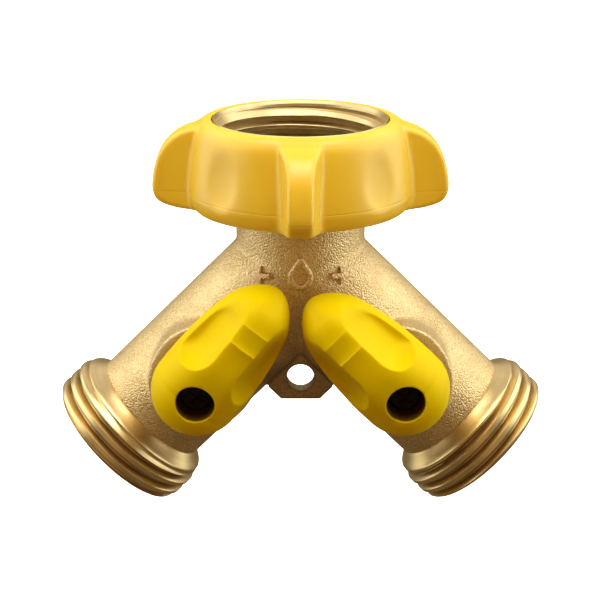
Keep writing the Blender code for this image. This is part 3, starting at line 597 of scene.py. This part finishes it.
def dome_height(along, across, top):
    """The handle without its scoops: round over its width, and round again at the nose."""
    wide = np.maximum(half_width(np.maximum(along, 0.0)), 0.05)
    share = np.where(along < 0.0, np.hypot(along, across) / HANDLE_HUB_R, np.abs(across) / wide)
    nose = np.maximum(1.0 - (np.maximum(along - DOME_NOSE_START, 0.0) / DOME_NOSE_LENGTH) ** NOSE_POWER, 0.0)
    return RIM_HEIGHT + (top - RIM_HEIGHT) * np.maximum(1.0 - share ** 3, 0.0) ** 0.62 * np.sqrt(nose)


HUB_X = -HANDLE_HUB_R * np.cos(np.linspace(0.0, math.pi / 2, 25))
NOSE_X = NOSE_START + NOSE_LENGTH * np.sin(np.linspace(0.08, math.pi / 2, 18))
OUTLINE_X = np.concatenate((HUB_X, np.linspace(0.8, NOSE_START, 20), NOSE_X))
HANDLE_OUTLINE = [(x, w) for x, w in zip(OUTLINE_X, half_width(OUTLINE_X))]
HANDLE_OUTLINE += [(x, -w) for x, w in reversed(HANDLE_OUTLINE[1:-1])]


def blurred(grid, sigma):
    """Gaussian blur of a height grid along both axes; sigma in cells."""
    reach = int(math.ceil(3 * sigma))
    taps = np.exp(-0.5 * (np.arange(-reach, reach + 1) / sigma) ** 2)
    taps /= taps.sum()
    for axis in (0, 1):
        padded = np.pad(grid, [(reach, reach) if item == axis else (0, 0) for item in (0, 1)], mode="edge")
        size = grid.shape[axis]
        grid = sum(tap * padded.take(np.arange(k, k + size), axis=axis) for k, tap in enumerate(taps))
    return grid


MAP_LOW, MAP_LENGTH_END, MAP_WIDTH_END, MAP_CELL = -9.0, 23.0, 9.05, 0.1
SCOOP_BLUR = 0.4


def handle_map():
    """Height map of the handle: a dome with a hollowed ridge, cut by a soft-edged scoop on each flank."""
    rows, columns = np.arange(MAP_LOW, MAP_LENGTH_END, MAP_CELL), np.arange(MAP_LOW, MAP_WIDTH_END, MAP_CELL)
    along, across = np.meshgrid(rows, columns, indexing="ij")
    edge = polygon_field(along, across, HANDLE_OUTLINE)
    top = ridge_top(along)
    beside_ridge = smooth_step(0.5, 2.2, beyond_ridge(along, across))
    soft = 0.3 + (1.0 + 2.5 * smooth_step(11.0, 18.0, along)) * beside_ridge
    scoop = blurred(scoop_height(along, across, edge, top), SCOOP_BLUR / MAP_CELL)
    return smooth_min(dome_height(along, across, top), scoop, soft)


HANDLE_MAP = handle_map()


def handle_top(along, across):
    """The handle's height at a place, read between the map's cells."""
    rows = np.clip((along - MAP_LOW) / MAP_CELL, 0.0, HANDLE_MAP.shape[0] - 1.001)
    columns = np.clip((across - MAP_LOW) / MAP_CELL, 0.0, HANDLE_MAP.shape[1] - 1.001)
    row, column = rows.astype(int), columns.astype(int)
    down, right = rows - row, columns - column
    near = HANDLE_MAP[row, column] * (1 - right) + HANDLE_MAP[row, column + 1] * right
    far = HANDLE_MAP[row + 1, column] * (1 - right) + HANDLE_MAP[row + 1, column + 1] * right
    return near * (1 - down) + far * down


HANDLE_ROUND = 0.4
RECESS_R, RECESS_FLOOR = 3.03, 16.6
SOCKET_HALF, SOCKET_TOP = 2.7, 15.7
SCREW_HOLE_R, SCREW_HOLE_TOP = 1.65, 17.5
HANDLE_UNDERSIDE = 13.6


def handle_field(points):
    """The handle, less its screw recess, the stem's square socket and the screw's hole."""
    along, across, height = points[..., 0], points[..., 1], points[..., 2]
    edge = polygon_field(along, across, HANDLE_OUTLINE)
    solid = smooth_max(edge, (height - handle_top(along, across)) * 0.4, HANDLE_ROUND)
    recess = smooth_max(np.hypot(along, across) - RECESS_R, RECESS_FLOOR - height, 0.15)
    solid = smooth_max(solid, -recess, 0.3)
    socket = np.maximum(np.maximum(np.abs(along), np.abs(across)) - SOCKET_HALF, height - SOCKET_TOP)
    screw_hole = np.maximum(np.hypot(along, across) - SCREW_HOLE_R, height - SCREW_HOLE_TOP)
    solid = smooth_max(solid, HANDLE_UNDERSIDE - height, HANDLE_ROUND)
    return smooth_max(solid, -np.minimum(socket, screw_hole), 0.1)


def handle(side):
    """One lever handle, in place on its stem."""
    low, high = (-8.2, -8.2, 13.1), (22.0, 8.2, 25.2)
    return implicit(side + "_handle_fine", handle_field, low, high, cell=0.2, body=side + "_valve",
                    nodes=[side + "_handle"], place=lever_place(side))


# ---------------------------------------------------------------- materials

class Nodes:
    """Short calls for building one material's node tree."""

    def __init__(self, name):
        self.material = bpy.data.materials.new(name)
        self.material.use_nodes = True
        self.tree = self.material.node_tree
        self.shader = self.tree.nodes["Principled BSDF"]
        self.place = self.tree.nodes.new("ShaderNodeTexCoord").outputs["Object"]

    def add(self, kind, inputs=None, **settings):
        """A node with its inputs linked or set, and its own settings."""
        node = self.tree.nodes.new(kind)
        for key, value in settings.items():
            setattr(node, key, value)
        for key, value in (inputs or {}).items():
            if isinstance(value, bpy.types.NodeSocket):
                self.tree.links.new(value, node.inputs[key])
            else:
                node.inputs[key].default_value = value
        return node

    def set(self, **values):
        """Link or set the shader's inputs, named with _ for a space."""
        for key, value in values.items():
            socket = self.shader.inputs[key.replace("_", " ")]
            if isinstance(value, bpy.types.NodeSocket):
                self.tree.links.new(value, socket)
            else:
                socket.default_value = value

    def noise(self, scale, detail, roughness, vector=None):
        inputs = {"Vector": vector or self.place, "Scale": scale, "Detail": detail, "Roughness": roughness}
        return self.add("ShaderNodeTexNoise", inputs).outputs["Fac"]

    def ramp(self, value, stops):
        node = self.add("ShaderNodeValToRGB", {"Fac": value})
        ramp = node.color_ramp
        ramp.elements[0].position, ramp.elements[0].color = stops[0][0], (*stops[0][1], 1.0)
        ramp.elements[1].position, ramp.elements[1].color = stops[-1][0], (*stops[-1][1], 1.0)
        for position, color in stops[1:-1]:
            ramp.elements.new(position).color = (*color, 1.0)
        return node.outputs["Color"]

    def span(self, value, low, high, start=0.0, end=1.0):
        """Low up to start, high from end on, and a straight ramp between."""
        inputs = {"Value": value, "From Min": start, "From Max": end, "To Min": low, "To Max": high}
        return self.add("ShaderNodeMapRange", inputs).outputs["Result"]

    def math(self, operation, first, second=0.0):
        return self.add("ShaderNodeMath", {0: first, 1: second}, operation=operation).outputs["Value"]

    def vector(self, operation, first, second=(0.0, 0.0, 0.0)):
        return self.add("ShaderNodeVectorMath", {0: first, 1: second}, operation=operation)

    def mix(self, factor, first, second):
        """Blend from the first colour to the second."""
        node = self.add("ShaderNodeMix", data_type="RGBA")
        for key, value in (("Factor", factor), ("A", first), ("B", second)):
            sockets = [item for item in node.inputs if item.name == key and item.enabled]
            if isinstance(value, bpy.types.NodeSocket):
                self.tree.links.new(value, sockets[0])
            else:
                sockets[0].default_value = value if key == "Factor" else (*value, 1.0)
        return [item for item in node.outputs if item.enabled][0]

    def bump(self, height, strength, distance_mm, normal=None):
        inputs = {"Height": height, "Strength": strength, "Distance": distance_mm * MM}
        if normal:
            inputs["Normal"] = normal
        return self.add("ShaderNodeBump", inputs).outputs["Normal"]

    def scaled(self, vector, factor):
        node = self.add("ShaderNodeVectorMath", {0: vector, "Scale": factor}, operation="SCALE")
        return node.outputs["Vector"]

    def streaks(self, direction, fine, coarse):
        """Coordinates stretched so that a noise on them runs in rings round the direction."""
        along = self.vector("DOT_PRODUCT", self.place, direction)
        push = self.scaled(self.scaled(direction, along.outputs["Value"]), fine)
        return self.vector("ADD", push, self.scaled(self.place, coarse)).outputs["Vector"]


CAST_TONES = [(0.3, (0.70, 0.49, 0.21)), (0.55, (0.79, 0.57, 0.26)), (0.75, (0.86, 0.64, 0.31))]
BRIGHT_GRAIN, DARK_GRAIN = (0.98, 0.82, 0.50), (0.38, 0.22, 0.08)
# Painted shade for the hang tab, and painted light for the boss faces
TAB_PAINTED_SHADE, BOSS_FACE_PAINTED_LIGHT = (0.20, 0.13, 0.06), (1.0, 0.85, 0.56)


def brass_cast():
    """Shot-blasted cast brass: bright and dark grains, painted shade on the hang tab and painted light on
    the boss faces.
    """
    nodes = Nodes("shot_blasted_brass")
    tone = nodes.noise(scale=260.0, detail=4.0, roughness=0.6)
    grain = nodes.noise(scale=3900.0, detail=3.0, roughness=0.6)
    cells = nodes.add("ShaderNodeTexVoronoi", {"Vector": nodes.place, "Scale": 3300.0})
    color = nodes.ramp(tone, CAST_TONES)
    color = nodes.mix(nodes.span(grain, 0.0, 0.6, start=0.5, end=0.68), color, BRIGHT_GRAIN)
    color = nodes.mix(nodes.span(grain, 0.6, 0.0, start=0.3, end=0.5), color, DARK_GRAIN)
    split = nodes.add("ShaderNodeSeparateXYZ", {"Vector": nodes.place})
    # Painted shade: the hang tab and the leg sides beside it, below z = -31 mm, are darkened in colour.
    inner = nodes.span(nodes.math("ABSOLUTE", split.outputs["X"]), 1.0, 0.0, start=5.5 * MM, end=8.5 * MM)
    lower = nodes.span(split.outputs["Z"], 0.6, 0.0, start=-35.0 * MM, end=-31.0 * MM)
    color = nodes.mix(nodes.math("MULTIPLY", inner, lower), color, TAB_PAINTED_SHADE)
    # Painted light: the flat boss faces, in front of y = -12.2 mm, are lightened in colour.
    boss_face_light_mask = nodes.span(split.outputs["Y"], 0.6, 0.0, start=-12.25 * MM, end=-12.15 * MM)
    color = nodes.mix(boss_face_light_mask, color, BOSS_FACE_PAINTED_LIGHT)
    height = nodes.math("SUBTRACT", nodes.math("MULTIPLY", grain, 0.8), cells.outputs["Distance"])
    nodes.set(Base_Color=color, Metallic=1.0, Roughness=nodes.span(grain, 0.5, 0.36),
              Normal=nodes.bump(height, strength=0.8, distance_mm=0.13))
    return nodes.material


TURNED_TONES = ((0.80, 0.60, 0.28), (0.90, 0.70, 0.35))
# The second colour is painted shade for the roots of a male thread.
TOOL_MARK, ROOT_PAINTED_SHADE = (0.60, 0.41, 0.17), (0.20, 0.11, 0.035)


def brass_turned(name, direction, thread=False, shade=1.0):
    """Turned brass with rings of tool marks; a male thread gets painted shade in its roots, and a shade
    under 1 darkens every colour as painted shade.
    """
    nodes = Nodes(name)
    streaks = nodes.streaks(direction, fine=9000.0, coarse=60.0)
    rings = nodes.noise(scale=1.0, detail=3.0, roughness=0.6, vector=streaks)
    broad = nodes.noise(scale=300.0, detail=3.0, roughness=0.55)
    # A shade under 1 gives a darker copy of the colours, as painted shade.
    deep, light = (tuple(shade * part for part in tone) for tone in TURNED_TONES)
    color = nodes.ramp(broad, [(0.3, deep), (0.7, light)])
    color = nodes.mix(nodes.span(rings, 0.0, 0.5, start=0.45, end=0.75), color, TOOL_MARK)
    if thread:
        place = nodes.vector("SUBTRACT", nodes.place, tuple(HUB * MM)).outputs["Vector"]
        along = nodes.vector("DOT_PRODUCT", place, direction).outputs["Value"]
        cross = nodes.vector("CROSS_PRODUCT", place, direction).outputs["Vector"]
        away = nodes.vector("LENGTH", cross).outputs["Value"]
        # Painted shade: the thread roots, 12.1 to 12.9 mm from the axis, are darkened in colour.
        groove = nodes.math("MULTIPLY", nodes.span(away, 0.6, 0.0, start=12.1 * MM, end=12.9 * MM),
                            nodes.span(along, 0.0, 1.0, start=37.7 * MM, end=38.2 * MM))
        groove = nodes.math("MULTIPLY", groove, nodes.span(along, 1.0, 0.0, start=43.6 * MM, end=44.0 * MM))
        color = nodes.mix(groove, color, ROOT_PAINTED_SHADE)
    nodes.set(Base_Color=color, Metallic=1.0, Roughness=nodes.span(rings, 0.28, 0.42),
              Normal=nodes.bump(rings, strength=0.3, distance_mm=0.03))
    return nodes.material


# Painted shade for the handles' screw recesses
WELL_PAINTED_SHADE = (0.13, 0.06, 0.006)
SCATTER_RADII = (1.0, 0.45, 0.05)


def moulded(name, deep, light, roughness, gloss, seam_z=None, well=None):
    """Moulded plastic: slight mottle, fine skin, a parting line at seam_z, painted shade in the screw wells
    round the axis at (x, z).
    """
    nodes = Nodes(name)
    mottle = nodes.noise(scale=120.0, detail=3.0, roughness=0.5)
    skin = nodes.noise(scale=2500.0, detail=2.0, roughness=0.5)
    ripple = nodes.noise(scale=160.0, detail=2.0, roughness=0.4)
    color = nodes.ramp(mottle, [(0.3, deep), (0.7, light)])
    normal = nodes.bump(skin, strength=0.10, distance_mm=0.015)
    normal = nodes.bump(ripple, strength=0.12, distance_mm=0.25, normal=normal)
    if seam_z is not None:
        z = nodes.add("ShaderNodeSeparateXYZ", {"Vector": nodes.place}).outputs["Z"]
        off = nodes.math("ABSOLUTE", nodes.math("SUBTRACT", z, seam_z * MM))
        line = nodes.span(off, 0.0, 1.0, start=0.04 * MM, end=0.16 * MM)
        normal = nodes.bump(line, strength=0.6, distance_mm=0.05, normal=normal)
    if well is not None:
        split = nodes.add("ShaderNodeSeparateXYZ", {"Vector": nodes.place})
        aside = nodes.math("SUBTRACT", nodes.math("ABSOLUTE", split.outputs["X"]), well[0] * MM)
        above = nodes.math("SUBTRACT", split.outputs["Z"], well[1] * MM)
        away = nodes.math("SQRT", nodes.math("ADD", nodes.math("MULTIPLY", aside, aside),
                                             nodes.math("MULTIPLY", above, above)))
        # Painted shade: within 3.06 to 3.22 mm of the stem's axis the colour goes dark, shading the screw
        # recess.
        color = nodes.mix(nodes.span(away, 1.0, 0.0, start=3.06 * MM, end=3.22 * MM), color, WELL_PAINTED_SHADE)
    nodes.set(Base_Color=color, Normal=normal, Specular_IOR_Level=gloss,
              Roughness=nodes.span(skin, roughness - 0.04, roughness + 0.05), Subsurface_Weight=0.25,
              Subsurface_Radius=SCATTER_RADII, Subsurface_Scale=1.5 * MM)
    return nodes.material


def plain(name, first, second, roughness, metallic=0.0, grain_scale=1500.0, depth_mm=0.02):
    """A small part's finish: two close tones, varied roughness and a fine grain."""
    nodes = Nodes(name)
    tone = nodes.noise(scale=400.0, detail=3.0, roughness=0.55)
    grain = nodes.noise(scale=grain_scale, detail=3.0, roughness=0.6)
    nodes.set(Base_Color=nodes.ramp(tone, [(0.3, first), (0.7, second)]), Metallic=metallic,
              Roughness=nodes.span(grain, roughness * 0.85, roughness * 1.15),
              Normal=nodes.bump(grain, strength=0.3, distance_mm=depth_mm))
    return nodes.material


def dress(piece, material):
    """Give a piece one material in place of any it has."""
    piece.data.materials.clear()
    piece.data.materials.append(material)


# ---------------------------------------------------------------- stage, lights, camera

def stage():
    """A pale glowing floor well below the part, which only the camera sees."""
    mesh = bpy.data.meshes.new("floor")
    reach, level = 6.0, -0.115
    corners = [(reach * x, reach * y, level) for x, y in ((-1, -1), (1, -1), (1, 1), (-1, 1))]
    mesh.from_pydata(corners, [], [(0, 1, 2, 3)])
    floor = bpy.data.objects.new("floor", mesh)
    bpy.context.scene.collection.objects.link(floor)
    nodes = Nodes("pale_floor")
    nodes.set(Base_Color=(0.93, 0.93, 0.93, 1.0), Roughness=0.9, Emission_Color=(1.0, 1.0, 1.0, 1.0),
              Emission_Strength=1.0)
    floor.data.materials.append(nodes.material)
    floor.visible_glossy = False
    floor.visible_diffuse = False


AIM = (0.0, 0.0, -0.02)
# Name, place, size, power in watts and colour of each lamp; all of them point at AIM
LAMPS = (
    ("top", (0.0, -0.16, 0.55), (0.7, 0.4), 3.6, (1.0, 1.0, 1.0)),
    ("left", (-0.50, 0.05, 0.14), (0.75, 0.8), 3.0, (0.93, 1.0, 1.0)),
    ("right", (0.50, 0.05, 0.14), (0.75, 0.8), 3.4, (0.93, 1.0, 1.0)),
    ("front", (0.0, -0.6, 0.04), (0.9, 0.5), 0.42, (1.0, 0.68, 0.40)),
    ("back", (0.0, 0.45, 0.38), (1.3, 0.5), 1.3, (1.0, 1.0, 1.0)),
)
# What the world shows to reflections, to diffuse light and to the camera
WORLD_COLORS = ((0.155, 0.11, 0.06, 1.0), (0.19, 0.10, 0.04, 1.0), (1.0, 1.0, 1.0, 1.0))


def area_light(name, location, size, power, color):
    """A rectangular lamp that points at AIM."""
    light = bpy.data.lights.new(name, "AREA")
    light.shape = "RECTANGLE"
    light.size, light.size_y = size
    light.energy = power
    light.color = color
    lamp = bpy.data.objects.new(name, light)
    bpy.context.scene.collection.objects.link(lamp)
    lamp.location = location
    lamp.rotation_euler = (Vector(AIM) - Vector(location)).to_track_quat("-Z", "Y").to_euler()


def studio_world():
    """A white studio to the camera, and a dim warm one to the part."""
    world = bpy.data.worlds.new("studio")
    bpy.context.scene.world = world
    world.use_nodes = True
    tree = world.node_tree
    tree.nodes.clear()
    path = tree.nodes.new("ShaderNodeLightPath")
    shades = []
    for color in WORLD_COLORS:
        shade = tree.nodes.new("ShaderNodeBackground")
        shade.inputs["Color"].default_value = color
        shades.append(shade.outputs["Background"])
    reflected, fill, seen = shades
    inner, outer = tree.nodes.new("ShaderNodeMixShader"), tree.nodes.new("ShaderNodeMixShader")
    out = tree.nodes.new("ShaderNodeOutputWorld")
    tree.links.new(path.outputs["Is Diffuse Ray"], inner.inputs["Fac"])
    tree.links.new(reflected, inner.inputs[1])
    tree.links.new(fill, inner.inputs[2])
    tree.links.new(path.outputs["Is Camera Ray"], outer.inputs["Fac"])
    tree.links.new(inner.outputs["Shader"], outer.inputs[1])
    tree.links.new(seen, outer.inputs[2])
    tree.links.new(outer.outputs["Shader"], out.inputs["Surface"])


CAMERA_LENS_MM, CAMERA_SENSOR_MM, CAMERA_SHIFT = 107.72, 36.0, -1 / 1200
CAMERA_DISTANCE, CAMERA_AIM_Z = 0.300, -0.02408
CAMERA_TILT = math.radians(17.74)


def camera():
    """A long lens in front of the part, looking down a little."""
    data = bpy.data.cameras.new("camera")
    data.sensor_width = CAMERA_SENSOR_MM
    data.lens = CAMERA_LENS_MM
    data.shift_x = CAMERA_SHIFT
    view = bpy.data.objects.new("camera", data)
    bpy.context.scene.collection.objects.link(view)
    back, up = CAMERA_DISTANCE * math.cos(CAMERA_TILT), CAMERA_DISTANCE * math.sin(CAMERA_TILT)
    view.location = (0.0, -back, CAMERA_AIM_Z + up)
    view.rotation_euler = (math.pi / 2 - CAMERA_TILT, 0.0, 0.0)
    bpy.context.scene.camera = view


# ---------------------------------------------------------------- assembly

GRIP_SEAM_Z = -4.8
# Painted shade: the inlet's turned brass is a darker copy, its colours scaled by this factor.
INLET_PAINTED_SHADE = 0.82


def finishes_by_slot():
    """One material for each slot that the CAD frame names."""
    stem = HUB + VALVE_S * leg_axis("right")
    return {
        "brass_cast": brass_cast(),
        "grip_plastic": moulded("golden_yellow_plastic", (0.94, 0.59, 0.016), (0.97, 0.63, 0.022),
                                roughness=0.36, gloss=0.75, seam_z=GRIP_SEAM_Z),
        # The handles get painted shade in their screw recesses round the right stem's axis, mirrored to the
        # left.
        "handle_plastic": moulded("lemon_yellow_plastic", (0.80, 0.57, 0.0), (0.83, 0.61, 0.0),
                                  roughness=0.45, gloss=0.05, well=(stem[0], stem[2])),
        "brass_turned": brass_turned("turned_brass_inlet_painted_shade", (0.0, 0.0, 1.0), shade=INLET_PAINTED_SHADE),
        "rubber": plain("black_rubber", (0.018, 0.018, 0.018), (0.03, 0.03, 0.03), roughness=0.6),
        "seat_plastic": plain("white_ptfe", (0.80, 0.80, 0.76), (0.87, 0.87, 0.84), roughness=0.4),
        "steel_dark": plain("black_oxide_steel", (0.014, 0.011, 0.008), (0.03, 0.024, 0.018),
                            roughness=0.55, metallic=1.0),
        "steel_bright": plain("spring_wire", (0.5, 0.5, 0.49), (0.66, 0.66, 0.64),
                              roughness=0.28, metallic=1.0),
        "chrome_ball": plain("chrome_plate", (0.72, 0.72, 0.74), (0.8, 0.8, 0.82),
                             roughness=0.07, metallic=1.0, grain_scale=600.0, depth_mm=0.004),
    }


def build():
    """Dress the CAD nodes, make the finer pieces, and set the stage, the lights and the camera."""
    bpy.context.scene.view_settings.view_transform = "Standard"
    finishes = finishes_by_slot()
    for entry in frame["record"]["subparts"]:
        dress(frame["nodes"][entry["node"]], finishes[entry["material_slot"]])
    dress(cast_body(), finishes["brass_cast"])
    for mark in flow_marks():
        dress(mark, finishes["brass_cast"])
    dress(neck_spigot(), finishes["brass_turned"])
    dress(swivel_nut(), finishes["brass_turned"])
    dress(hose_washer(), finishes["rubber"])
    dress(swivel_grip(), finishes["grip_plastic"])
    for side in SIDES:
        dress(outlet_end(side), brass_turned("turned_brass_" + side, tuple(leg_axis(side)), thread=True))
        dress(handle(side), finishes["handle_plastic"])
    stage()
    studio_world()
    for lamp in LAMPS:
        area_light(*lamp)
    camera()


build()
